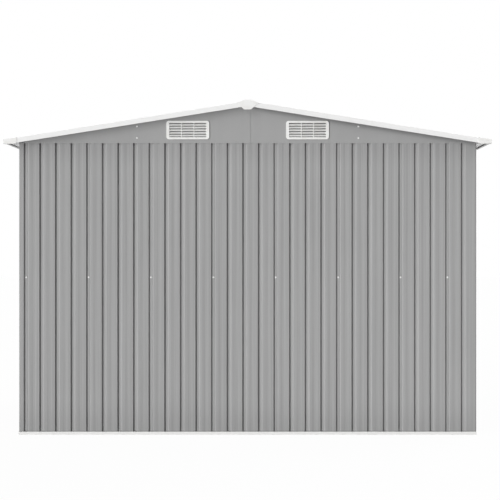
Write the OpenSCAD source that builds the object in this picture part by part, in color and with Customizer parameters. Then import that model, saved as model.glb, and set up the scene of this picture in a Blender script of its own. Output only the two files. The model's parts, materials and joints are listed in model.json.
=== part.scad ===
// Metal storage shed: ribbed sheet-steel walls standing on a rail frame, a low gable roof,
// white trims and caps, louvred gable vents and a closed pair of sliding doors at the front.
// The plain gable wall is the rear wall, at -Y; the ridge runs along Y and the ground is z = 0.

/* [Building] */
// Width over the outer faces of the side walls
wall_w = 2432; // [2100:1:3200]
// Depth over the outer faces of the end walls
wall_d = 1934; // [1500:1:3200]
// Height of wall over the doorway, up to the gables' lower edge
head_h = 59.5; // [56:0.5:120]
// Height of a gable at the wall corner
corner_rise = 15.5; // [12:0.5:40]
// Slope of the roof in degrees
roof_pitch = 9; // [6:0.5:15]
// Reach of the roof past the end walls
end_over = 46; // [46:1:120]
// Reach of the roof past the side walls
eave_over = 74; // [62:1:120]
// Gauge of the sheet
sheet_t = 0.8; // [0.5:0.1:1.2]
// Clearance between pieces that seat on each other
gap = 0.3; // [0.2:0.05:0.4]

/* [Ribbed sheet] */
// Distance from one valley to the next
rib_pitch = 83; // [76:1:110]
// Depth of a valley
rib_depth = 9; // [6:0.5:12]
// Flat floor of a valley
floor_w = 14; // [10:0.5:18]
// Run of a valley's sloping side
side_w = 5.5; // [4:0.1:8]
// Radius of the folds
fold_r = 2.5; // [1.5:0.5:3]
// Width of the shallow flute along the middle of a board
flute_w = 27; // [20:1:32]
// Run of a flute's side
flute_side = 8; // [5:0.5:9]
// Depth of a flute
flute_depth = 0.9; // [0.4:0.1:1.6]
// Valleys from one sheet lap to the next
lap_ribs = 4; // [3:1:6]
// Middle of the first valley from a wall's left corner
first_valley = 38; // [32:0.5:45]
// Least board between the last valley and a wall's right corner
corner_board = 50; // [40:1:70]
// Radius of the bend at a wall corner
corner_r = 6; // [4:0.5:8]

/* [Rails] */
// Height of the ledge that the wall sheets stand on
ledge_z = 16; // [12:0.5:30]
// How far a base rail stands out in front of the wall
skirt = 1.5; // [0.5:0.1:4]
// Reach of a base rail's foot into the shed
foot_w = 50; // [40:1:80]
// Height of the upstand behind the wall sheets
upstand = 40; // [25:1:70]
// Height of the sill behind the doorway
sill = 14; // [8:1:20]
// Reach of the front rail's foot, which also guides the doors
front_foot = 56; // [52:1:80]
// Upturned edge of the front rail's foot
toe_h = 12; // [8:1:20]
// Middle of the rails at half height
mid_z = 836; // [600:1:1000]
// Height of a middle rail
mid_h = 40; // [30:1:60]
// Depth of a middle rail
mid_d = 20; // [15:1:30]
// Height of a top rail
top_h = 50; // [40:1:60]
// Depth of a top rail
top_d = 25; // [18:1:35]
// Diameter of an anchor hole in a side rail
anchor_d = 9; // [6:0.5:14]
// Anchor hole from the outer face of its side wall
anchor_in = 32; // [28:1:40]
// Anchor hole from the outer face of the end wall
anchor_end = 250; // [150:1:500]

/* [Gables and vents] */
// Overlap of the two halves of a gable on each side of the middle
gable_lap = 14; // [8:1:24]
// Folded flange that carries the roof sheets
gable_flange = 25; // [15:1:35]
// Height of the hem along a gable's lower edge
hem_h = 8; // [5:1:12]
// Width of a vent
vent_w = 228; // [180:1:280]
// Height of a vent
vent_h = 98; // [80:1:102]
// Middle of a vent from the middle of the gable
vent_x = 318; // [250:1:380]
// Middle of a vent above the gable's lower edge
vent_rise = 69.5; // [66:0.5:80]
// Radius of a vent's corners
vent_r = 14; // [4:0.5:16]
// Thickness of a vent's face
vent_t = 5; // [3:0.5:8]
// Rim of a vent beside its slats
vent_rim = 16; // [12:0.5:22]
// Rim of a vent above and below its slats
vent_lip = 11; // [9:0.5:14]
// Slats in a vent
slats = 5; // [4:1:6]
// Thickness of a slat
slat_t = 2.4; // [1.6:0.1:3]
// Depth of a slat from its outer to its inner edge
slat_d = 6; // [4:0.5:8]
// Rise of a slat from its outer to its inner edge
slat_rise = 7; // [3:0.5:8]
// Width of the two bars across the slats
vent_bar = 4; // [2:0.5:8]

/* [Roof] */
// Half width of the ridge cap
ridge_half = 50; // [46:1:80]
// Half width of the raised roll along the ridge cap
roll_half = 44; // [30:1:45]
// Half width of the roll's flat top
roll_top = 9; // [6:1:26]
// Height of the roll's top above the ridge of the roof
roll_h = 18; // [15:0.5:30]
// Height that the gable trims hang below the roof sheets
trim_drop = 14.8; // [10:0.2:20]
// Width of a trim's top flange on the roof
trim_top = 34; // [25:1:45]
// Width of a trim's bottom lip
trim_lip = 12; // [8:1:16]
// Height that the eave trims hang below the roof sheets
eave_drop = 7; // [5:0.5:14]
// Thickness of the moulded caps
cap_t = 2; // [1.5:0.1:3]
// Length that the moulded caps reach back along the trims
cap_d = 40; // [34:1:42]
// Reach of a ridge end cap over the gable trims beside the ridge cap
ridge_cap_side = 10; // [6:1:16]
// Depth of a ridge end cap's pointed face below the ridge
ridge_cap_drop = 33; // [28:1:50]
// Half width of a ridge end cap's lower edge
ridge_cap_foot = 18; // [8:1:30]
// Length of an eave corner cap along the gable
corner_cap_l = 70; // [60:1:100]
// Half width of the ridge beam
beam_half = 25; // [18:1:27]
// Height of the ridge beam
beam_h = 55; // [40:1:80]
// Middle of the roof from the ridge at which a purlin lies
purlin_x = 588; // [520:1:700]
// Height of a purlin
purlin_h = 48; // [35:1:60]
// Width of a purlin
purlin_w = 30; // [22:1:40]
// Height of the tab that fixes a purlin to the gable
tab_h = 88; // [60:1:90]

/* [Doors] */
// Clear width of the doorway
door_w = 1190; // [900:1:1300]
// Clear height of the doorway
door_h = 1490; // [1300:1:1900]
// Overlap of a door leaf behind the edge of the doorway
door_lap = 25; // [18:1:40]
// Outer face of the doors behind the wall face
door_in = 26; // [24:1:32]
// Thickness of a door leaf
door_t = 16; // [14.5:0.5:18]
// Width of a door leaf's frame
stile = 30; // [20:1:45]
// Half of the gap between the closed leaves
door_gap = 2; // [1:0.5:4]
// Underside of the doors above the ground
door_z = 6; // [3:0.5:10]
// Length of the glides that a door stands on and is guided by
glide_l = 40; // [25:1:60]
// Folded edge of the wall sheets at the doorway
jamb_fold = 14; // [8:1:20]
// Width of a door jamb's face
jamb_face = 22; // [16:1:30]
// Depth of a door jamb
jamb_d = 20; // [16:1:22]
// Depth of the track over the doors
track_h = 15; // [10:1:20]
// Height of a handle
handle_h = 120; // [90:1:180]
// Reach of a handle
handle_out = 26; // [20:1:34]
// Thickness of a handle
handle_t = 8; // [6:0.5:12]
// Width of a handle
handle_w = 16; // [12:0.5:20]

/* [Hidden] */
steps = 2;
grey = [0.60, 0.60, 0.60];
white = [0.93, 0.93, 0.93];
zinc = [0.72, 0.73, 0.74];
black = [0.12, 0.12, 0.12];

// levels and lines of the roof
slope = tan(roof_pitch);
fall = cos(roof_pitch);
gable_z = door_h + head_h;
corner_z = gable_z + corner_rise;
ridge_z = corner_z + wall_w / 2 * slope;
wall_top = gable_z + corner_rise - 2.5;
panel_h = wall_top - ledge_z - gap;
rib_half = floor_w / 2 + side_w;
rib_top = rib_depth + sheet_t;
trim_n = rib_top + gap + sheet_t;
cap_n = trim_n + gap + cap_t;
roll_z = ridge_z + roll_h;
end_y = wall_d / 2 + end_over;
verge_y = end_y - cap_t - gap;
eave_end = wall_w / 2 + eave_over;
eave_x = eave_end - cap_t - gap;
eave_z = ridge_z - eave_x * slope - eave_drop;
roof_len = 2 * (verge_y - sheet_t - 1);
rail_w = rib_depth + sheet_t + gap;
purlin_s = purlin_x / fall;
vent_z = gable_z + vent_rise;
cut_w = vent_w - 2 * 10;
cut_h = vent_h - 2 * 6;
vent_d = 14;
door_u0 = (wall_w - door_w) / 2;
door_u1 = (wall_w + door_w) / 2;
top_z = wall_top - 1;
door_top = top_z - top_h - gap - track_h / 2;
leaf_w = door_w / 2 + door_lap - door_gap;

function roof_z(x) = ridge_z - abs(x) * slope;
function over(x, n) = roof_z(x) + n / fall;

// folded sheet: a path of [x, y, fold radius] is rounded and given its gauge on one side
function unit(v) = v / norm(v);
function xy(p) = [p[0], p[1]];
function fold_at(p, i) =
  i == 0 || i == len(p) - 1 || p[i][2] == 0 ? [xy(p[i])] :
  let (q = xy(p[i]), a = unit(xy(p[i - 1]) - q), b = unit(xy(p[i + 1]) - q))
  let (turn = 180 - acos(max(-1, min(1, a * b))), d = p[i][2] * tan(turn / 2))
  [for (s = [0:steps]) let (f = s / steps) q + a * d * (1 - f) * (1 - f) + b * d * f * f];
function rounded(p) = [for (i = [0:len(p) - 1]) each fold_at(p, i)];
function left_of(a, b) = let (d = unit(b - a)) [-d[1], d[0]];
function beside(p, t) = [for (i = [0:len(p) - 1])
  let (n0 = left_of(p[max(0, i - 1)], p[max(1, i)]))
  let (n1 = left_of(p[min(i, len(p) - 2)], p[min(i + 1, len(p) - 1)]))
  p[i] + (n0 + n1) * t / (1 + n0 * n1)];
function reversed(p) = [for (i = [len(p) - 1:-1:0]) p[i]];
function sheet(path, t) = let (p = rounded(path)) concat(p, reversed(beside(p, t)));
function flat(pts) = [for (p = pts) [p[0], p[1], 0]];

// ribbed profile: boards at depth 0, narrow valleys at rib_depth, a shallow flute in each board
function valley(c) = [
  [c - rib_half, 0, fold_r],
  [c - floor_w / 2, rib_depth, fold_r],
  [c + floor_w / 2, rib_depth, fold_r],
  [c + rib_half, 0, fold_r]];
function flute(c0, c1) = let (m = (c0 + c1) / 2) [
  [m - flute_w / 2, 0, 0],
  [m - flute_w / 2 + flute_side, flute_depth, 0],
  [m + flute_w / 2 - flute_side, flute_depth, 0],
  [m + flute_w / 2, 0, 0]];
function under_lap(c) = [
  [c - floor_w / 2 + 1, rib_depth, 0],
  [c + floor_w / 2, rib_depth, fold_r],
  [c + rib_half, 0, fold_r]];
function over_lap(c) = [
  [c - rib_half, 0, fold_r],
  [c - floor_w / 2, rib_depth - sheet_t - gap, fold_r],
  [c + floor_w / 2 - 1, rib_depth - sheet_t - gap, 0]];
function rib(first, k) = first + k * rib_pitch;
function head(first, k, lo) =
  is_undef(lo) ? under_lap(rib(first, k)) : concat(lo, valley(rib(first, k)));
function tail(first, k, hi) =
  is_undef(hi) ? over_lap(rib(first, k)) : concat(valley(rib(first, k)), hi);
function between(first, k0, k1) = [for (k = [k0 + 1:1:k1 - 1])
  each concat(flute(rib(first, k - 1), rib(first, k)), valley(rib(first, k)))];
function ribbed(first, k0, k1, lo, hi) = concat(
  head(first, k0, lo),
  between(first, k0, k1),
  flute(rib(first, k1 - 1), rib(first, k1)),
  tail(first, k1, hi));
function ribs(len) = floor((len - first_valley - corner_board) / rib_pitch);
function laps(n) = max(1, round(n / lap_ribs));
function lap(n, j) = ceil(n * j / laps(n));

// frames: walls 0 to 3 are rear, right, front and left, each with u along it and w into the shed
function wall_len(i) = i % 2 == 0 ? wall_w : wall_d;
function wall_span(i) = i % 2 == 0 ? wall_d : wall_w;
module wall_frame(i) {
  rotate([0, 0, 90 * i])
    translate([-wall_len(i) / 2, -wall_span(i) / 2, 0])
      children();
}
module end_frame(e) {
  rotate([0, 0, 180 * e])
    translate([0, -wall_d / 2, 0])
      children();
}
module slope_frame(s) {
  mirror([s < 0 ? 1 : 0, 0, 0])
    translate([0, 0, ridge_z])
      rotate([0, roof_pitch, 0])
        children();
}
module along(u0, u1) {
  translate([u0, 0, 0])
    rotate([90, 0, 90])
      linear_extrude(height = u1 - u0)
        children();
}
module upright(w0, w1) {
  translate([0, w1, 0])
    rotate([90, 0, 0])
      linear_extrude(height = w1 - w0)
        children();
}
module mitred(len) {
  out = skirt + 5;
  deep = front_foot + 20;
  intersection() {
    along(-out, len + out)
      children();
    translate([0, 0, -1])
      linear_extrude(height = gable_z + 200)
        polygon([
          [-out + gap / 2, -out],
          [len + out - gap / 2, -out],
          [len - deep - gap / 2, deep],
          [deep + gap / 2, deep]]);
  }
}

// base rails: an S-shaped strip with a foot, a skirt, a ledge and an upstand
module base_rail(i) {
  front = i == 2;
  up = front ? ledge_z + sill : ledge_z + upstand;
  s_strip = [
    [foot_w, 0, 0],
    [-skirt, 0, 0],
    [-skirt, ledge_z, 0],
    [rail_w, ledge_z, 0],
    [rail_w, up, 0]];
  f_strip = [
    [front_foot, toe_h, 0],
    [front_foot, 0, 0],
    [-skirt, 0, 0],
    [-skirt, ledge_z, 0],
    [rail_w, ledge_z, 0],
    [rail_w, up, 0]];
  color(white)
    wall_frame(i)
      difference() {
        mitred(wall_len(i))
          polygon(sheet(front ? f_strip : s_strip, -sheet_t));
        if (i % 2 == 1)
          for (u = [anchor_end, wall_d - anchor_end])
            translate([u, anchor_in, -1])
              cylinder(d = anchor_d, h = sheet_t + 2, $fn = 32);
      }
}
module base_rail_rear() {
  base_rail(0);
}
module base_rail_right() {
  base_rail(1);
}
module base_rail_front() {
  base_rail(2);
}
module base_rail_left() {
  base_rail(3);
}

// wall sheets: each laps over the next in a valley, as the sheets of such a wall do
module standing(path) {
  translate([0, 0, ledge_z + gap])
    linear_extrude(height = panel_h)
      polygon(sheet(path, sheet_t));
}
module wall_sheets(i) {
  n = ribs(wall_len(i)) - 1;
  color(grey)
    wall_frame(i)
      for (j = [0:laps(n) - 1])
        standing(ribbed(first_valley, lap(n, j), lap(n, j + 1)));
}
module corner_sheet(i) {
  n = ribs(wall_len(i));
  len = wall_len(i);
  turned = [for (p = over_lap(first_valley)) [len - p[1], p[0], p[2]]];
  color(grey)
    wall_frame(i)
      standing(ribbed(first_valley, n - 1, n, undef, concat([[len, 0, corner_r]], turned)));
}
module rear_wall() {
  wall_sheets(0);
}
module right_wall() {
  wall_sheets(1);
}
module left_wall() {
  wall_sheets(3);
}
module front_wall_right() {
  last = floor((door_u0 - 4 - rib_half - first_valley) / rib_pitch);
  edge = [[door_u0, 0, fold_r], [door_u0, jamb_fold, 0]];
  color(grey)
    wall_frame(2)
      standing(ribbed(first_valley, 0, last, undef, edge));
}
module front_wall_left() {
  first = ceil((door_u1 + 4 + rib_half - first_valley) / rib_pitch);
  edge = [[door_u1, jamb_fold, 0], [door_u1, 0, fold_r]];
  color(grey)
    wall_frame(2)
      standing(ribbed(first_valley, first, ribs(wall_w) - 1, edge));
}
module corner_panel_rear_right() {
  corner_sheet(0);
}
module corner_panel_front_right() {
  corner_sheet(1);
}
module corner_panel_front_left() {
  corner_sheet(2);
}
module corner_panel_rear_left() {
  corner_sheet(3);
}

// rails behind the wall sheets
module channel(i, z0, z1, depth, lift) {
  color(zinc)
    wall_frame(i)
      mitred(wall_len(i))
        polygon(sheet([
          [rail_w + depth, z0, 0],
          [rail_w, z0, 0],
          [rail_w, z1, 0],
          [rail_w + depth, z1 + lift, 0]], -sheet_t));
}
module mid_rail(i) {
  channel(i, mid_z - mid_h / 2, mid_z + mid_h / 2, mid_d, 0);
}
module side_top_rail(i) {
  channel(i, top_z - top_h, corner_z + rail_w * slope - gap, top_d, top_d * slope);
}
module mid_rail_rear() {
  mid_rail(0);
}
module mid_rail_right() {
  mid_rail(1);
}
module mid_rail_left() {
  mid_rail(3);
}
module top_rail_rear() {
  channel(0, top_z - top_h, top_z, top_d, 0);
}
module top_rail_front() {
  channel(2, top_z - top_h, top_z, top_d, 0);
}
module top_rail_right() {
  side_top_rail(1);
}
module top_rail_left() {
  side_top_rail(3);
}

// gables: two smooth halves that lap in the middle, hemmed below and flanged under the roof
function plate_w(s) = s < 0 ? -2 * gap - sheet_t : -gap;
module gable_half(e, s) {
  w = plate_w(s);
  low = (gap + sheet_t / 2) / fall;
  hem_x = s < 0 ? -gable_lap : gable_lap + 2;
  x1 = s * wall_w / 2;
  xm = -s * gable_lap;
  color(grey)
    end_frame(e) {
      difference() {
        union() {
          upright(w - sheet_t, w)
            polygon([
              [x1, gable_z],
              [xm, gable_z],
              [xm, roof_z(xm) - low],
              [0, ridge_z - low],
              [x1, roof_z(x1) - low]]);
          upright(w - 2 * sheet_t, w - sheet_t / 2)
            polygon([
              [x1, gable_z],
              [s * hem_x, gable_z],
              [s * hem_x, gable_z + hem_h],
              [x1, gable_z + hem_h]]);
          slope_frame(s)
            difference() {
              translate([beam_half + 5, w - sheet_t, -gap - sheet_t])
                cube([wall_w / 2 / fall - beam_half - rail_w - top_d - 12, gable_flange, sheet_t]);
              translate([purlin_s - 1, w + 0.2, -5])
                cube([purlin_w + 2, gable_flange, 10]);
            }
        }
        translate([s * vent_x, 0, vent_z])
          upright(w - 5, w + 5)
            square([cut_w, cut_h], center = true);
      }
    }
}
module rear_gable_left() {
  gable_half(0, -1);
}
module rear_gable_right() {
  gable_half(0, 1);
}
module front_gable_right() {
  gable_half(1, -1);
}
module front_gable_left() {
  gable_half(1, 1);
}

// vents: a rounded face on the gable, a sleeve through it, sloping slats and two bars
module rounded_face(w, h, r) {
  square([w - 2 * r, h], center = true);
  square([w, h - 2 * r], center = true);
  for (x = [-1, 1])
    for (y = [-1, 1])
      translate([x * (w / 2 - r), y * (h / 2 - r)])
        circle(r = r, $fn = 32);
}
module vent() {
  open_w = vent_w - 2 * vent_rim;
  open_h = vent_h - 2 * vent_lip;
  band = slat_rise + slat_t;
  pitch = (open_h + band) / (slats + 1);
  front = -vent_t + 1;
  difference() {
    union() {
      upright(-vent_t, 0)
        rounded_face(vent_w, vent_h, vent_r);
      upright(-1, vent_d)
        square([cut_w - 2 * gap, cut_h - 2 * gap], center = true);
    }
    upright(-vent_t - 1, vent_d + 1)
      square([open_w, open_h], center = true);
  }
  for (j = [0:slats - 1])
    translate([0, front, -open_h / 2 + (j + 1) * pitch - band])
      along(-open_w / 2 - 1, open_w / 2 + 1)
        polygon([
          [0, 0],
          [0, slat_t],
          [slat_d, band],
          [slat_d, slat_rise]]);
  for (x = [-1, 1])
    translate([x * open_w / 6, 0, 0])
      upright(front - 0.4, front + slat_d)
        square([vent_bar, open_h + 2], center = true);
}
module gable_vents() {
  color(white)
    for (e = [0, 1])
      for (s = [-1, 1])
        end_frame(e)
          translate([s * vent_x, plate_w(s) - sheet_t - gap, vent_z])
            vent();
}

// roof frame
module ridge_beam() {
  top = -gap / fall;
  side = roof_z(beam_half) + top;
  color(zinc)
    upright(-wall_d / 2 + gap, wall_d / 2 - gap)
      polygon(sheet([
        [-beam_half, side - beam_h, 0],
        [-beam_half, side, 0],
        [0, ridge_z + top, 0],
        [beam_half, side, 0],
        [beam_half, side - beam_h, 0]], -sheet_t));
}
module roof_purlins() {
  half = wall_d / 2 - gap;
  color(zinc)
    for (s = [-1, 1])
      slope_frame(s) {
        upright(-half, half)
          polygon(sheet([
            [purlin_s + purlin_w, -gap - purlin_h, 0],
            [purlin_s, -gap - purlin_h, 0],
            [purlin_s, -gap, 0],
            [purlin_s + purlin_w, -gap, 0]], -sheet_t));
        for (y = [-half, half - 1.2])
          translate([purlin_s, y, -gap - tab_h])
            cube([purlin_w, 1.2, tab_h]);
      }
}

// roof sheets: the same ribbed sheet laid with its narrow ribs up
module roof_sheets(s) {
  n = floor((roof_len - 2 * rib_half - 8) / rib_pitch);
  first = (roof_len - n * rib_pitch) / 2;
  s1 = (eave_x - sheet_t - 2 - rib_top * sin(roof_pitch)) / fall;
  m = laps(n);
  color(grey)
    slope_frame(s)
      translate([0, -roof_len / 2, 0])
        for (j = [0:m - 1])
          along(4, s1)
            polygon(sheet(ribbed(
              first,
              lap(n, j),
              lap(n, j + 1),
              j == 0 ? [[0, 0, 0]] : undef,
              j == m - 1 ? [[roof_len, 0, 0]] : undef), sheet_t));
}
module roof_left() {
  roof_sheets(-1);
}
module roof_right() {
  roof_sheets(1);
}

// trims and caps
function ridge_line(side, low, high, n, z) = [
  [-side, over(side, n), 0],
  [-low, over(low, n), 0],
  [-high, z, 0],
  [high, z, 0],
  [low, over(low, n), 0],
  [side, over(side, n), 0]];
module ridge_cap() {
  half = verge_y - 3;
  color(grey)
    upright(-half, half)
      polygon(sheet(ridge_line(ridge_half, roll_half, roll_top, trim_n, roll_z), -sheet_t));
}
module verge_trim(e, s) {
  s_ridge = (trim_drop * sin(roof_pitch) + gap) / fall;
  s0 = (ridge_half + 2) / fall;
  s1 = (wall_w / 2 + 20) / fall;
  face = [
    [-verge_y + trim_lip, -trim_drop, 0],
    [-verge_y, -trim_drop, 0],
    [-verge_y, trim_n, 0]];
  color(white)
    mirror([0, e, 0])
      slope_frame(s) {
        along(s_ridge, s0 + 1)
          polygon(sheet(face, -sheet_t));
        along(s0, s1)
          polygon(sheet(concat(face, [[-verge_y + trim_top, trim_n, 0]]), -sheet_t));
      }
}
module verge_trim_rear_left() {
  verge_trim(0, -1);
}
module verge_trim_rear_right() {
  verge_trim(0, 1);
}
module verge_trim_front_left() {
  verge_trim(1, -1);
}
module verge_trim_front_right() {
  verge_trim(1, 1);
}
module eave_trim(s) {
  half = verge_y - 3;
  x0 = eave_x - trim_top;
  color(white)
    mirror([s < 0 ? 1 : 0, 0, 0])
      upright(-half, half)
        polygon(sheet([
          [x0, over(x0, trim_n), 0],
          [eave_x, over(eave_x, trim_n), 0],
          [eave_x, eave_z, 0],
          [eave_x - trim_lip, eave_z, 0]], -sheet_t));
}
module eave_trim_left() {
  eave_trim(-1);
}
module eave_trim_right() {
  eave_trim(1);
}
module ridge_end_caps() {
  half = ridge_half + ridge_cap_side;
  hood = ridge_line(half, roll_half + cap_t, roll_top + cap_t / 2, cap_n, roll_z + gap + cap_t);
  face = concat([for (p = hood) xy(p)], [
    [half, over(half, trim_n)],
    [ridge_cap_foot, ridge_z - ridge_cap_drop],
    [-ridge_cap_foot, ridge_z - ridge_cap_drop],
    [-half, over(half, trim_n)]]);
  color(white)
    for (e = [0, 1])
      mirror([0, e, 0]) {
        upright(-end_y, -end_y + cap_t)
          polygon(face);
        upright(-end_y, -end_y + cap_d)
          polygon(sheet(hood, -cap_t));
      }
}
module eave_corner_caps() {
  x0 = eave_end - corner_cap_l;
  n1 = cap_n;
  low = eave_z - gap - cap_t;
  shell = [
    [x0, over(x0, n1), 0],
    [eave_end, over(eave_end, n1), 0],
    [eave_end, low, 0],
    [wall_w / 2 + 14, low, 0],
    [x0, over(x0, -trim_drop - gap - cap_t), 0]];
  color(white)
    for (e = [0, 1])
      for (s = [0, 1])
        mirror([0, e, 0])
          mirror([s, 0, 0]) {
            upright(-end_y, -end_y + cap_t)
              polygon([for (p = shell) xy(p)]);
            upright(-end_y, -end_y + cap_d)
              polygon(sheet(shell, -cap_t));
          }
}

// doorway and doors
module front_header() {
  color(white)
    wall_frame(2)
      along(door_u0 + gap, door_u1 - gap)
        polygon(sheet([
          [jamb_d, door_h, 0],
          [0, door_h, 0],
          [0, top_z, 0],
          [rail_w - gap, top_z, 0]], -sheet_t));
}
module door_jambs() {
  color(white)
    for (s = [0, 1])
      end_frame(1)
        mirror([s, 0, 0])
          translate([0, 0, ledge_z + gap])
            linear_extrude(height = door_h - ledge_z - 2 * gap)
              polygon(sheet([
                [-door_w / 2 - jamb_face, -gap - sheet_t, 0],
                [-door_w / 2 + gap + sheet_t, -gap - sheet_t, 0],
                [-door_w / 2 + gap + sheet_t, jamb_d, 0]], sheet_t));
}
module door_track() {
  z1 = top_z - top_h - gap;
  w0 = door_in - 3;
  w1 = door_in + door_t + 3;
  half = wall_w / 2 - foot_w;
  color(zinc)
    end_frame(1)
      along(-half, half)
        polygon(sheet([
          [w0, z1 - track_h, 0],
          [w0, z1, 0],
          [w1, z1, 0],
          [w1, z1 - track_h, 0]], -sheet_t));
}
module door_panel(s) {
  edge = sheet_t + gap;
  len = leaf_w - 2 * edge;
  n = floor((len - 2 * rib_half - 20) / rib_pitch);
  first = (len - n * rib_pitch) / 2;
  color(grey)
    end_frame(1)
      translate([s > 0 ? door_gap + edge : -door_gap - leaf_w + edge, door_in + edge, door_z + edge])
        linear_extrude(height = door_top - door_z - 2 * edge)
          polygon(sheet(ribbed(first, 0, n, [[0, 0, 0]], [[len, 0, 0]]), sheet_t));
}
module door_left() {
  door_panel(1);
}
module door_right() {
  door_panel(-1);
}
module door_frames() {
  h = door_top - door_z;
  foot = door_z - sheet_t - gap;
  guide = track_h / 2 - sheet_t - gap;
  color(white)
    for (s = [-1, 1])
      end_frame(1)
        translate([s > 0 ? door_gap : -door_gap - leaf_w, door_in, door_z]) {
          difference() {
            cube([leaf_w, door_t, h]);
            translate([stile, -1, stile])
              cube([leaf_w - 2 * stile, door_t + 2, h - 2 * stile]);
            translate([sheet_t, sheet_t, sheet_t])
              cube([leaf_w - 2 * sheet_t, door_t - 2 * sheet_t, h - 2 * sheet_t]);
          }
          for (u = [stile, leaf_w - stile - glide_l]) {
            translate([u, 0, -foot])
              cube([glide_l, door_t, foot + sheet_t]);
            translate([u, 0, h - sheet_t])
              cube([glide_l, door_t, guide + sheet_t]);
          }
        }
}
module door_handles() {
  out = door_in - gap;
  color(black)
    for (s = [-1, 1])
      end_frame(1)
        translate([s * (door_gap + stile / 2) - handle_w / 2, 0, mid_z])
          along(0, handle_w)
            polygon(sheet([
              [out, -handle_h / 2, 0],
              [out - handle_out, -handle_h / 2, 12],
              [out - handle_out, handle_h / 2, 12],
              [out, handle_h / 2, 0]], -handle_t));
}

base_rail_rear();
base_rail_right();
base_rail_front();
base_rail_left();
rear_wall();
right_wall();
left_wall();
front_wall_left();
front_wall_right();
corner_panel_rear_left();
corner_panel_rear_right();
corner_panel_front_left();
corner_panel_front_right();
mid_rail_rear();
mid_rail_left();
mid_rail_right();
top_rail_rear();
top_rail_front();
top_rail_left();
top_rail_right();
rear_gable_left();
rear_gable_right();
front_gable_left();
front_gable_right();
gable_vents();
ridge_beam();
roof_purlins();
roof_left();
roof_right();
ridge_cap();
verge_trim_rear_left();
verge_trim_rear_right();
verge_trim_front_left();
verge_trim_front_right();
eave_trim_left();
eave_trim_right();
ridge_end_caps();
eave_corner_caps();
front_header();
door_jambs();
door_track();
door_left();
door_right();
door_frames();
door_handles();
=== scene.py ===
# %% [markdown]
# # A metal storage shed
# The shed is a kit of thin folded sheet: grey ribbed walls and roof, white trims and caps, louvred
# vents in the gables and a pair of sliding doors on the far side. Its shapes come packed from CAD as
# a fixed frame, in metres. This lesson gives it a camera, a stage, light, finishes and the small
# fasteners, and never moves a CAD node.

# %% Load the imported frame
import json
import math

import bpy
from mathutils import Matrix, Vector


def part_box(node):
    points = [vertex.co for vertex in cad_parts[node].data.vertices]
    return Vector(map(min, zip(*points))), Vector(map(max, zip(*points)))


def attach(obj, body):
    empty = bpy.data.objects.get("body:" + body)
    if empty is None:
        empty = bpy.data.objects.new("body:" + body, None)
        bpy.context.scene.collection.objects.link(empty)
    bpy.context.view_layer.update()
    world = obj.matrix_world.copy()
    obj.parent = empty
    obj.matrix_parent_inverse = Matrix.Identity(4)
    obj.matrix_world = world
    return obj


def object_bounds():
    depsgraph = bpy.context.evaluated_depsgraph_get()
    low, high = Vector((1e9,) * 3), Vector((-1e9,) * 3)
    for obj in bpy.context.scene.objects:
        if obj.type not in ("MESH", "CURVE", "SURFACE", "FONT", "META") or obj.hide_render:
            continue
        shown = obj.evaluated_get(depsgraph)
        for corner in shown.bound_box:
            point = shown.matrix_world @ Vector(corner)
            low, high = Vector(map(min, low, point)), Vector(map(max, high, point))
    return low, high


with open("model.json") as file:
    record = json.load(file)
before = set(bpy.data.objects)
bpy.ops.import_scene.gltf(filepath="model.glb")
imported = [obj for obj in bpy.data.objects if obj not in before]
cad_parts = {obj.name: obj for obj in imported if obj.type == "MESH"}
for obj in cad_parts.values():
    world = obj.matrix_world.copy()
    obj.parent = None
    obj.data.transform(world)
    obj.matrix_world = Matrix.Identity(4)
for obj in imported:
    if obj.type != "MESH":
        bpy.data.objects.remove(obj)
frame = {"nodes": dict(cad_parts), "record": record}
cad_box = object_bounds()
nodes = frame["nodes"]
bpy.ops.object.select_all(action="DESELECT")
print("CAD nodes:", len(nodes), "box:", [[round(v, 4) for v in corner] for corner in cad_box])

# %% [markdown]
# ## The camera
# The picture looks square on to the plain gable end, from some way off and a little over half way up,
# so the eaves run back to a point near the middle. Three measures in the picture fix the camera: half
# the roof's width gives the lens, the line where the wall meets the ground gives the height, and the
# point that the eaves run back to, a little right of the middle, gives the side step. Turning the
# camera would make the wall's level lines run together, so it stays square, and a small lens shift
# brings the shed back to the middle.

# %% Camera
IMAGE_PX = 500
ROOF_HALF_PX = 244.25
GROUND_LINE_PX = 434.75
CENTRE_LINE_PX = 247.7
EAVES_MEET_PX = 268.0
CAMERA_RANGE = 7.0

roof_half = cad_box[1][0]
roof_near = cad_box[0][1]
wall_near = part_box("base_rail_rear")[0][1]
focal_px = ROOF_HALF_PX * CAMERA_RANGE / roof_half
camera_y = roof_near - CAMERA_RANGE
metres_per_px = (wall_near - camera_y) / focal_px
camera_z = (GROUND_LINE_PX - IMAGE_PX / 2) * metres_per_px
camera_x = (EAVES_MEET_PX - CENTRE_LINE_PX) * metres_per_px

view = bpy.data.cameras.new("view")
view.sensor_width = 36.0
view.lens = view.sensor_width * focal_px / IMAGE_PX
view.shift_x = (IMAGE_PX / 2 - EAVES_MEET_PX) / IMAGE_PX
view.clip_end = 100.0
camera = bpy.data.objects.new("view", view)
camera.location = (camera_x, camera_y, camera_z)
camera.rotation_euler = (math.radians(90), 0, 0)
scene = bpy.context.scene
scene.collection.objects.link(camera)
scene.camera = camera
scene.view_settings.view_transform = "Standard"
print("lens %.1f mm, camera height %.3f m" % (view.lens, camera_z))

# %% [markdown]
# ## Shader sums
# A finish is a small sum: base colour plus a little noise, darker by a mask. Wiring Math nodes by
# hand hides that sum, so one class wraps a socket and lets Python's own operators add the nodes.
# Every other node comes from a single method that sets its settings first and its sockets next.


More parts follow.
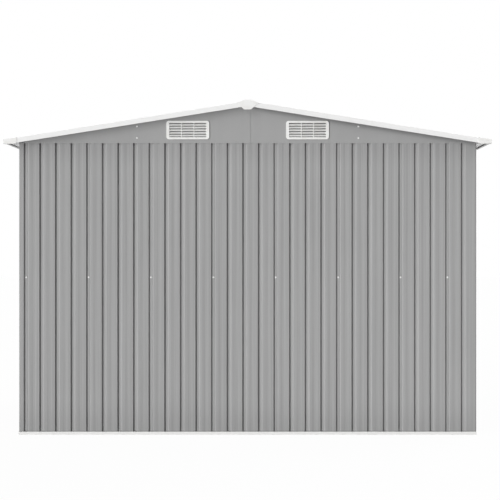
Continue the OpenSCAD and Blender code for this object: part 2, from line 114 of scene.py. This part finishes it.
# %% A socket that can be added and multiplied
class Wire:
    """An output socket in a node tree. A sum or product of wires adds its Math node."""

    def __init__(self, tree, socket=None):
        self.tree = tree
        self.socket = socket

    def node(self, kind, settings=None, out=0, **sockets):
        """Adds a node, settings first and then sockets by identifier or name; gives one output."""
        made = self.tree.nodes.new(kind)
        for name, value in (settings or {}).items():
            setattr(made, name, value)
        for name, value in sockets.items():
            plain = name.replace("_", " ")
            slots = [s for s in made.inputs if s.identifier == name]
            slots += [s for s in made.inputs if s.name == plain]
            if isinstance(value, Wire):
                self.tree.links.new(value.socket, slots[0])
            else:
                slots[0].default_value = value
        return Wire(self.tree, made.outputs[out] if made.outputs else None)

    def sum(self, operation, left, right):
        return self.node("ShaderNodeMath", {"operation": operation}, Value=left, Value_001=right)

    def __add__(self, other):
        return self.sum("ADD", self, other)

    def __radd__(self, other):
        return self.sum("ADD", other, self)

    def __sub__(self, other):
        return self.sum("SUBTRACT", self, other)

    def __rsub__(self, other):
        return self.sum("SUBTRACT", other, self)

    def __mul__(self, other):
        return self.sum("MULTIPLY", self, other)

    def __rmul__(self, other):
        return self.sum("MULTIPLY", other, self)

    def __abs__(self):
        return self.node("ShaderNodeMath", {"operation": "ABSOLUTE"}, Value=self)

    def between(self, low, high):
        """0 where this wire is at low, 1 at high, smooth between."""
        settings = {"interpolation_type": "SMOOTHSTEP"}
        return self.node("ShaderNodeMapRange", settings, Value=self, From_Min=low, From_Max=high)

    def blend(self, first, second):
        """A colour from first to second, by this wire."""
        settings = {"data_type": "RGBA"}
        return self.node("ShaderNodeMix", settings, 2, Factor_Float=self, A_Color=first, B_Color=second)


def tree_of(owner):
    """An empty node tree on a material or world."""
    owner.use_nodes = True
    owner.node_tree.nodes.clear()
    return Wire(owner.node_tree)


print("shader sums ready")

# %% [markdown]
# ## Stage
# The shed stands on a plain white floor. Lit by the lamps alone it would come out grey, so for rays
# from the camera most of its colour is white light, which is white at a strength of one, and the rest
# is a matt floor that takes the shed's soft shadow. The floor takes shadows but throws none, so that
# a lamp may stand as low as the light a real white floor sends back.

# %% Floor
FLOOR_SIDE = 80.0
FLOOR_WHITE = 0.98
FLOOR_LIT = 0.25
FLOOR_SEEN = 0.96
SHOWING_RAYS = ("Is Camera Ray", "Is Glossy Ray", "Is Transmission Ray")


def grey(value):
    """A colour of three equal parts."""
    return (value, value, value, 1)


def showing(wire):
    """1 for a ray that shows the stage: from the camera, off a gloss or through glass."""
    seen, mirrored, through = [wire.node("ShaderNodeLightPath", out=ray) for ray in SHOWING_RAYS]
    return (seen + mirrored + through).between(0.0, 1.0)


bpy.ops.mesh.primitive_plane_add(size=1, location=(0, 0, 0))
floor = bpy.context.object
floor.name = "floor"
bpy.ops.object.mode_set(mode="EDIT")
bpy.ops.mesh.select_all(action="SELECT")
bpy.ops.transform.resize(value=(FLOOR_SIDE, FLOOR_SIDE, 1))
bpy.ops.object.mode_set(mode="OBJECT")
floor.visible_shadow = False

floor_white = bpy.data.materials.new("stage_white")
wire = tree_of(floor_white)
by_eye = wire.node("ShaderNodeLightPath", out="Is Camera Ray")
matt = wire.node("ShaderNodeBsdfDiffuse", Color=by_eye.blend(grey(FLOOR_LIT), grey(FLOOR_WHITE)))
glow = wire.node("ShaderNodeEmission", Color=grey(1.0), Strength=1.0)
cover = wire.node("ShaderNodeMixShader", Fac=showing(wire) * FLOOR_SEEN, Shader=matt, Shader_001=glow)
wire.node("ShaderNodeOutputMaterial", Surface=cover)
floor.data.materials.append(floor_white)
print("floor side: %.0f m" % floor.dimensions.x)

# %% [markdown]
# The world behind the floor works in the same way: white to look at, and for lighting a soft panel
# overhead that fades out toward the sides. A sky that is white all round would light the valleys of
# the wall from everywhere and wash out their dark lines.

# %% Background
SKY_SIDE = 0.02
SKY_TOP = 0.85
SKY_FADE = (0.4, 0.85)


def axis(vector, letter):
    """One number of a vector: X, Y or Z."""
    return vector.node("ShaderNodeSeparateXYZ", Vector=vector, out=letter)


sky = bpy.data.worlds.new("white_sky")
scene.world = sky
wire = tree_of(sky)
upward = axis(wire.node("ShaderNodeTexCoord", out="Generated"), "Z").between(*SKY_FADE)
panel = upward.blend(grey(SKY_SIDE), grey(SKY_TOP))
behind = wire.node("ShaderNodeBackground", Color=showing(wire).blend(panel, grey(1.0)), Strength=1.0)
wire.node("ShaderNodeOutputWorld", Surface=behind)
print("background nodes:", len(sky.node_tree.nodes))

# %% [markdown]
# ## Light
# The valleys of the wall are dark on their right-facing sides and bright on the left-facing ones, so
# most of the light comes from the left. A lamp above the eaves would throw a hard band on the gable,
# and there the wall only darkens softly over two or three centimetres. So the light is split: a low
# lamp, as if from the white floor, reaches right up under the roof edge, and a weaker, wide one above
# it makes the soft band. A glow straight up from the floor opens the undersides of the eaves, and a
# last lamp from behind keeps the doors readable when the shed is turned round.


# %% Four soft suns
def soft_sun(name, from_left, up, strength, spread):
    """A sun whose rays come from that many degrees left of square on, and that many up."""
    data = bpy.data.lights.new(name, "SUN")
    data.energy = strength
    data.angle = math.radians(spread)
    lamp = bpy.data.objects.new(name, data)
    lamp.rotation_euler = (math.radians(90 - up), 0, math.radians(-from_left))
    scene.collection.objects.link(lamp)
    ray = lamp.rotation_euler.to_matrix() @ Vector((0, 0, -1))
    print(name, "shines along", [round(v, 2) for v in ray])


soft_sun("low_sun", from_left=43.5, up=-10, strength=2.61, spread=8)
soft_sun("high_sun", from_left=38, up=25, strength=0.8, spread=32)
soft_sun("floor_glow", from_left=0, up=-90, strength=1.8, spread=6)
soft_sun("far_sun", from_left=215, up=15, strength=2.4, spread=50)

# %% [markdown]
# ## What every finish needs
# Each finish of the shed reads its place in metres from Object coordinates, varies by a few noises and
# ends in a Principled shader, so those steps are written once. A painted picture would need every
# fold laid out flat, but a noise in space needs no map and runs on from one sheet to the next.


# %% Helpers for a finish
def new_finish(name):
    """A new material, a wire in its empty tree, and the place in metres."""
    material = bpy.data.materials.new(name)
    start = tree_of(material)
    place = start.node("ShaderNodeTexCoord", out="Object")
    return material, start, place


def tilt_of(wire):
    """How far a face looks up: 1 on a floor, 0 on a wall and -1 on a ceiling."""
    return axis(wire.node("ShaderNodeTexCoord", out="Normal"), "Z")


def stretched(place, by):
    """The place times a number for each axis: a small number makes a pattern long on that axis."""
    return place.node("ShaderNodeVectorMath", {"operation": "MULTIPLY"}, Vector=place, Vector_001=by)


def noise(place, scale, detail=2.0):
    """Smooth noise about 0.5, with about that many waves a metre."""
    return place.node("ShaderNodeTexNoise", Vector=place, Scale=scale, Detail=detail)


def bumps(wire, fine, fine_depth, broad, broad_depth):
    """Two heights in metres, a fine skin over broad waves, as one normal."""
    waves = wire.node("ShaderNodeBump", Height=broad, Distance=broad_depth, Strength=1.0)
    return wire.node("ShaderNodeBump", Height=fine, Distance=fine_depth, Strength=1.0, Normal=waves)


def close(material, wire, **sockets):
    """Ends a finish in a Principled shader."""
    shader = wire.node("ShaderNodeBsdfPrincipled", **sockets)
    wire.node("ShaderNodeOutputMaterial", Surface=shader)
    print("finish:", material.name, "nodes:", len(material.node_tree.nodes))


print("finish helpers ready")

# %% [markdown]
# ## Grey coil-coated sheet
# The walls, roof and doors are steel coil that was painted before it was folded. One finish serves
# them all, so it has to know where on the shed a point lies. A material for each place could say so,
# but a roof sheet alone has a painted top and another coat below. So the finish asks the face: one
# that looks up is roof, one that looks down is the back of the roof, and the height tells a wall from
# the gable above it.

# %% Where on the shed
ROOF_TILT = (0.2, 0.4)
UNDER_TILT = (-0.3, -0.6)
EDGE_BELOW = 0.0045
EDGE_ABOVE = 0.0025

wall_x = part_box("right_wall")[1].x
gable_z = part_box("rear_gable_left")[0].z

grey_sheet, wire, place = new_finish("grey_sheet")
height = axis(place, "Z")
across = axis(place, "X")
tilt = tilt_of(wire)
roof = tilt.between(*ROOF_TILT)
under = tilt.between(*UNDER_TILT)
over_wall = height.between(gable_z - EDGE_BELOW, gable_z + EDGE_ABOVE)
gable = over_wall * (1 - roof)
print("wall half width %.3f m, foot of the gables %.3f m" % (wall_x, gable_z))

# %% [markdown]
# Just below the roof's edge the sheet is painted darker as shade, more on the right half, and a little
# along the top of every wall. Dust gathers along the foot, and the sheet is darker in a thin line at the
# seam over the base rail. The roof's edge slopes, so its strip is measured down from the line of the
# gable trim. For the rest the height is enough.

# %% Painted shade and dust
PITCH = math.radians(9)
EAVE_SHADE_DROP = (-0.006, 0.026)
RIGHT_HALF = (-0.05, 0.15)
EAVE_SHADE = 0.20
RIGHT_HALF_SHADE = 0.16
TOP_SHADE_BAND = (0.15, 0.01)
DUST_RISE = (0.03, 0.20)
SEAM_RISE = (0.018, 0.027)

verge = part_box("verge_trim_rear_right")
drop = verge[0].z + (verge[1].x - abs(across)) * math.tan(PITCH) - height
# Painted shade: a darker band just below the roof's edge, deeper on the right half.
eave_shade_band = (1 - drop.between(*EAVE_SHADE_DROP)) * (1 - roof) * (1 - under)
grime_and_shade = (EAVE_SHADE + RIGHT_HALF_SHADE * across.between(*RIGHT_HALF)) * eave_shade_band
# Painted shade along the top of each wall, under the foot of the gable.
top_shade = height.between(gable_z - TOP_SHADE_BAND[0], gable_z - TOP_SHADE_BAND[1]) * (1 - over_wall)
dust = (1 - height.between(*DUST_RISE)) * (0.7 + 0.6 * noise(place, 9.0, detail=4.0))
seam = 1 - height.between(*SEAM_RISE)
print("roof edge at the eaves: %.3f m out, %.3f m up" % (verge[1].x, verge[0].z))

# %% [markdown]
# Up close the paint has a fine orange-peel skin, the sheet is never quite flat, the rollers that folded
# it leave fine lines along its length, and rain adds broader streaks. Lines and streaks are a noise
# that is drawn out along the sheet: upright on a wall, down the slope on the roof. The gables are plain
# sheet with no lines. The backs of the roof sheets have a pale coat out at the eaves, and further in
# they are painted dark as shade, so the louvres look into the dark.

# %% Grey paint
SHEET_GREY = 0.343
EAVES_GREY = 0.85
INSIDE_SHADE_GREY = 0.20
PALE_EAVES_WIDTH = 0.026
SHEET_ROUGH = 0.62
DRAWN_OUT = 0.01
PEEL_SCALE = 620.0
MOTTLE = 0.10

on_wall = stretched(place, (1.0, 1.0, DRAWN_OUT))
on_slope = stretched(place, (DRAWN_OUT, 1.0, 1.0))
along = roof.blend(on_wall, on_slope)
broad = noise(place, 1.3) - 0.5
streaks = noise(along, 22.0, detail=3.0) - 0.5
speck = noise(place, 380.0, detail=1.0) - 0.5
lines = (noise(along, 120.0, detail=1.0) - 0.5) * (1 - gable)
shade = 1 + MOTTLE * broad + MOTTLE * streaks + MOTTLE * speck
# The top_shade term darkens the wall's top as painted shade.
shade = shade + 0.26 * lines - 0.075 * dust - 0.12 * seam - 0.08 * top_shade
# Painted shade: the back of the roof is dark inside a pale strip at the eaves.
eaves = abs(across).between(wall_x - PALE_EAVES_WIDTH, wall_x)
coat_and_inside_shade = INSIDE_SHADE_GREY + (EAVES_GREY - INSIDE_SHADE_GREY) * eaves
# The painted shade under the roof's edge darkens the coat here.
coat = shade * (1 - grime_and_shade) * (SHEET_GREY + (coat_and_inside_shade - SHEET_GREY) * under)
tone = wire.node("ShaderNodeCombineColor", Red=coat, Green=coat, Blue=coat)
close(grey_sheet, wire, Base_Color=tone, Specular_IOR_Level=0.2,
      Roughness=SHEET_ROUGH + 0.16 * streaks + 0.15 * dust,
      Normal=bumps(wire, fine=noise(place, PEEL_SCALE), fine_depth=0.00012,
                   broad=noise(place, 3.2), broad_depth=0.006))

# %% [markdown]
# ## White coated trims
# The trims, base rails, door surround and door frames are the same steel in white. A plain white would
# do from afar, but white shows dirt first, so there is dust along the foot and in faint drips, a touch
# warmer than the paint. The lips that look down are painted dark as shade.

# %% White trim finish
TRIM_WHITE = (0.83, 0.83, 0.825, 1)
TRIM_DUST = (0.60, 0.58, 0.55, 1)
TRIM_LIP_SHADE = (0.10, 0.10, 0.10, 1)
TRIM_ROUGH = 0.38
TRIM_FOOT = (0.0, 0.05)
LIP_TILT = (-0.3, -0.7)
UNDERSIDE_SHADE = 0.8

white_trim, wire, place = new_finish("white_trim")
foot = 1 - axis(place, "Z").between(*TRIM_FOOT)
drips = noise(stretched(place, (1.0, 1.0, 0.06)), 34.0, detail=3.0)
grime_and_shade = noise(place, 46.0, detail=5.0)
dust = 0.22 * foot + 0.10 * drips.between(0.5, 0.8) + 0.12 * (grime_and_shade - 0.4)
paint = dust.blend(TRIM_WHITE, TRIM_DUST)
# Painted shade: the lips that look down are darkened.
lip_shade = UNDERSIDE_SHADE * tilt_of(wire).between(*LIP_TILT)
close(white_trim, wire, Base_Color=lip_shade.blend(paint, TRIM_LIP_SHADE),
      Roughness=TRIM_ROUGH + 0.2 * (grime_and_shade - 0.5) + 0.2 * dust,
      Normal=bumps(wire, fine=noise(place, PEEL_SCALE), fine_depth=0.0001,
                   broad=noise(place, 5.0), broad_depth=0.003))

# %% [markdown]
# ## Galvanised rails
# The rails, ridge beam and purlins inside are plain galvanised strip. Zinc freezes on the hot steel in
# flat crystals about a centimetre across, each one a slightly different grey and gloss. A smooth noise
# would look like stains, so the crystals are the cells of a Voronoi texture, with a fainter stain over
# them.

# %% Zinc finish
ZINC_DARK = (0.46, 0.47, 0.48, 1)
ZINC_PALE = (0.66, 0.67, 0.68, 1)
ZINC_ROUGH = 0.36
CRYSTALS_PER_METRE = 70.0

zinc_rail, wire, place = new_finish("zinc_rail")
crystal = wire.node("ShaderNodeTexVoronoi", Vector=place, Scale=CRYSTALS_PER_METRE, out="Color")
spangle = wire.node("ShaderNodeSeparateColor", Color=crystal, out="Red")
stain = noise(place, 14.0, detail=4.0)
close(zinc_rail, wire, Base_Color=(0.7 * spangle + 0.3 * stain).blend(ZINC_DARK, ZINC_PALE),
      Metallic=0.75 + 0.15 * stain, Roughness=ZINC_ROUGH + 0.18 * spangle + 0.12 * (stain - 0.5),
      Normal=bumps(wire, fine=spangle, fine_depth=0.00004,
                   broad=noise(place, 6.0), broad_depth=0.002))

# %% [markdown]
# ## Moulded plastic
# The vents and caps are white moulded plastic with a fine spark-eroded grain, and the door handles
# are the same in black. Plastic is softer looking than paint: rougher, with no broad waves in it. Its
# undersides are painted darker as shade, which is what makes the slats of a louvre stand out. Both
# colours come from one function.

# %% White and black plastic finishes
PLASTIC_WHITE = (0.84, 0.84, 0.83, 1)
PLASTIC_AGED = (0.74, 0.73, 0.70, 1)
PLASTIC_UNDERSIDE_SHADE = (0.20, 0.20, 0.19, 1)
PLASTIC_BLACK = (0.022, 0.022, 0.024, 1)
PLASTIC_WORN = (0.055, 0.055, 0.056, 1)
SLAT_TILT = (0.0, -0.4)


def moulded(name, fresh, aged, shaded, rough):
    """Moulded plastic: a fresh colour, patches of an aged one, and a third painted on the undersides as
    shade.
    """
    material, wire, place = new_finish(name)
    patch = noise(place, 26.0, detail=4.0)
    grain = noise(place, 1300.0, detail=1.0)
    skin = (0.6 * patch.between(0.35, 0.75)).blend(fresh, aged)
    # Painted shade: faces that look down are darkened.
    underside_shade = UNDERSIDE_SHADE * tilt_of(wire).between(*SLAT_TILT)
    close(material, wire, Base_Color=underside_shade.blend(skin, shaded),
          Roughness=rough + 0.16 * (patch - 0.5) + 0.08 * (grain - 0.5),
          Normal=bumps(wire, fine=grain, fine_depth=0.00008, broad=patch, broad_depth=0.0004))
    return material


white_plastic = moulded("white_plastic", PLASTIC_WHITE, PLASTIC_AGED, PLASTIC_UNDERSIDE_SHADE, rough=0.46)
black_plastic = moulded("black_plastic", PLASTIC_BLACK, PLASTIC_WORN, PLASTIC_BLACK, rough=0.52)

# %% [markdown]
# ## Dressing the CAD nodes
# Each node could be dressed by hand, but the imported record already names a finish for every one. So
# each node is given that finish by name, and none is left with its plain CAD colour.

# %% Finish every node
FINISHES = {
    "grey_sheet": grey_sheet,
    "white_trim": white_trim,
    "zinc_rail": zinc_rail,
    "white_plastic": white_plastic,
    "black_plastic": black_plastic,
}
for part in frame["record"]["subparts"]:
    mesh = nodes[part["node"]].data
    mesh.materials.clear()
    mesh.materials.append(FINISHES[part["material_slot"]])
print("dressed:", sum(bool(node.data.materials) for node in nodes.values()), "nodes")

# %% [markdown]
# ## Screw caps
# The sheets are screwed to the rails, and every screw wears a small white plastic cap: a thin washer
# with a rounded head. A plain dome would lose the step between the two. So a cap starts as a short
# cylinder, the washer, its top is inset and extruded for the head, and the head's rim is bevelled
# round. The first steps and the last are helpers, because another screw follows.


# %% Helpers for a small turned part
def choose_top(mesh, least):
    """Selects the faces that look up at least this much, and only their edges, in edit mode."""
    bpy.ops.mesh.select_all(action="DESELECT")
    bpy.ops.object.mode_set(mode="OBJECT")
    for face in mesh.polygons:
        face.select = face.normal.z > least
    bpy.ops.object.mode_set(mode="EDIT")


def start_disc(sides, radius, thick):
    """A short cylinder that stands on the origin, in edit mode with its top selected."""
    bpy.ops.object.select_all(action="DESELECT")
    bpy.ops.mesh.primitive_cylinder_add(vertices=sides, radius=radius, depth=thick,
                                        location=(0, 0, thick / 2))
    disc = bpy.context.object
    bpy.ops.object.transform_apply(location=True)
    bpy.ops.object.mode_set(mode="EDIT")
    bpy.ops.mesh.select_mode(type="FACE")
    choose_top(disc.data, least=0.9)
    return disc


def end_disc(disc, crease):
    """Leaves edit mode and shades all smooth but the edges sharper than crease, in degrees."""
    bpy.ops.object.mode_set(mode="OBJECT")
    bpy.ops.object.shade_smooth_by_angle(angle=math.radians(crease))
    print("faces:", len(disc.data.polygons), "height %.1f mm" % (1000 * disc.dimensions.z))


print("helpers for small parts ready")

# %% One cap
WASHER_R = 0.0054
WASHER_T = 0.0012
HEAD_INSET = 0.0011
HEAD_T = 0.0026
HEAD_ROUND = 0.0017

cap = start_disc(sides=16, radius=WASHER_R, thick=WASHER_T)
bpy.ops.mesh.inset(thickness=HEAD_INSET)
bpy.ops.mesh.extrude_region_move(TRANSFORM_OT_translate={"value": (0, 0, HEAD_T)})
bpy.ops.mesh.bevel(offset=HEAD_ROUND, segments=3, affect="EDGES")
end_disc(cap, crease=50)

# %% [markdown]
# A cap goes to each of a list of seats, and a seat is a point and the way out from it. An Array modifier
# repeats a shape in even steps only, and the screws of a wall aren't quite evenly spaced. So the model
# is copied to its seats in code, and the copies on a wall are joined to one piece.


# %% Copies on their seats
def copies(name, model, seats, slot):
    """Copies a model to each seat, a point and the way out from it, as one piece."""
    bpy.ops.object.select_all(action="DESELECT")
    for point, outward in seats:
        one = model.copy()
        one.data = model.data.copy()
        turn = Vector((0, 0, 1)).rotation_difference(Vector(outward)).to_matrix().to_4x4()
        one.data.transform(Matrix.Translation(point) @ turn)
        scene.collection.objects.link(one)
        one.select_set(True)
        bpy.context.view_layer.objects.active = one
    bpy.ops.object.join()
    piece = bpy.context.object
    piece.name = name
    piece.data.materials.clear()
    piece.data.materials.append(FINISHES[slot])
    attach(piece, "root")
    print(name, len(seats), "copies, faces:", len(piece.data.polygons))


def screw_caps(name, seats):
    """White caps on a list of seats."""
    copies(name, cap, seats, "white_plastic")


print("ready to copy the cap")

# %% [markdown]
# The wall sheets lap in a valley, and the screws stand in those valleys, in one row at the height of
# the middle rail. A valley is told by its number from the left corner of its wall, seen from outside.

# %% Caps on the walls
RIB_PITCH = 0.083
FIRST_VALLEY = 0.038
LAP_DEPTH = 0.0079
REAR_LAPS = (0, 4, 8, 12, 16, 20, 24, 27)
FRONT_LAPS = (0, 27)
SIDE_LAPS = (0, 5, 9, 13, 17, 21)

mid_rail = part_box("mid_rail_rear")
mid_z = (mid_rail[0].z + mid_rail[1].z) / 2
wall_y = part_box("rear_wall")[0].y


def valley(k):
    """How far the middle of a wall's valley lies from the wall's left corner."""
    return FIRST_VALLEY + k * RIB_PITCH


screw_caps("rear_wall_screw_caps",
           [((-wall_x + valley(k), wall_y + LAP_DEPTH, mid_z), (0, -1, 0)) for k in REAR_LAPS])
screw_caps("right_wall_screw_caps",
           [((wall_x - LAP_DEPTH, wall_y + valley(k), mid_z), (1, 0, 0)) for k in SIDE_LAPS])
screw_caps("left_wall_screw_caps",
           [((-wall_x + LAP_DEPTH, -wall_y - valley(k), mid_z), (-1, 0, 0)) for k in SIDE_LAPS])
screw_caps("front_wall_screw_caps",
           [((wall_x - valley(k), -wall_y - LAP_DEPTH, mid_z), (0, 1, 0)) for k in FRONT_LAPS])

# %% [markdown]
# On the roof the sheets lap along a raised rib, and the caps sit on top of it, one row over each purlin
# and one over each side wall. A point on the slope is told by how far it lies down from the ridge.

# %% Caps on the roof
RIB_TOP = 0.0098
FIRST_ROOF_RIB = -0.9545
ROOF_GAP = 0.0003
ROOF_ROWS = (0.610, 1.205)
ROOF_LAPS = (4, 8, 12, 16, 20)

ridge_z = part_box("ridge_beam")[1].z + ROOF_GAP


def on_roof(side, down, y):
    """A seat on a rib of the roof: side is 1 for the right slope and -1 for the left."""
    x = down * math.cos(PITCH) + RIB_TOP * math.sin(PITCH)
    z = ridge_z - down * math.sin(PITCH) + RIB_TOP * math.cos(PITCH)
    return (side * x, y, z), (side * math.sin(PITCH), 0, math.cos(PITCH))


for side, name in ((-1, "roof_left_screw_caps"), (1, "roof_right_screw_caps")):
    screw_caps(name, [on_roof(side, down, FIRST_ROOF_RIB + k * RIB_PITCH)
                      for down in ROOF_ROWS for k in ROOF_LAPS])

bpy.data.objects.remove(cap)

# %% [markdown]
# ## Gable screws
# Each half of a gable is screwed to the tab of its purlin with two white painted pan heads. Bare heads
# are smaller than caps and have a hole for the driver. So the head is a short cylinder with a bevelled
# rim, and the hole is inset in its top and pushed down.

# %% One pan head
PAN_R = 0.0047
PAN_H = 0.0024
PAN_ROUND = 0.0012
DRIVE_INSET = 0.0017
DRIVE_DEPTH = 0.0012

pan_head = start_disc(sides=12, radius=PAN_R, thick=PAN_H)
bpy.ops.mesh.bevel(offset=PAN_ROUND, segments=2, affect="EDGES")
choose_top(pan_head.data, least=0.99)
bpy.ops.mesh.inset(thickness=DRIVE_INSET)
bpy.ops.mesh.extrude_region_move(TRANSFORM_OT_translate={"value": (0, 0, -DRIVE_DEPTH)})
end_disc(pan_head, crease=40)

# %% [markdown]
# The hem along the foot of a gable is a second thickness of sheet, so the flat face that the heads
# sit on lies one thickness behind the foremost point of the node's box. The front gable is the rear
# one turned half round, so its seats are the rear ones with both signs changed.

# %% Two on each half of each gable
TAB_X = 0.588
TAB_HEIGHTS = (0.0275, 0.0885)
SHEET_T = 0.0008

left_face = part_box("rear_gable_left")[0].y + SHEET_T
right_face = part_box("rear_gable_right")[0].y + SHEET_T
rear_seats = [((side * TAB_X, face, gable_z + up), (0, -1, 0))
              for side, face in ((-1, left_face), (1, right_face)) for up in TAB_HEIGHTS]
front_seats = [((-x, -y, z), (0, 1, 0)) for (x, y, z), outward in rear_seats]
copies("gable_screws", pan_head, rear_seats + front_seats, "white_trim")
bpy.data.objects.remove(pan_head)
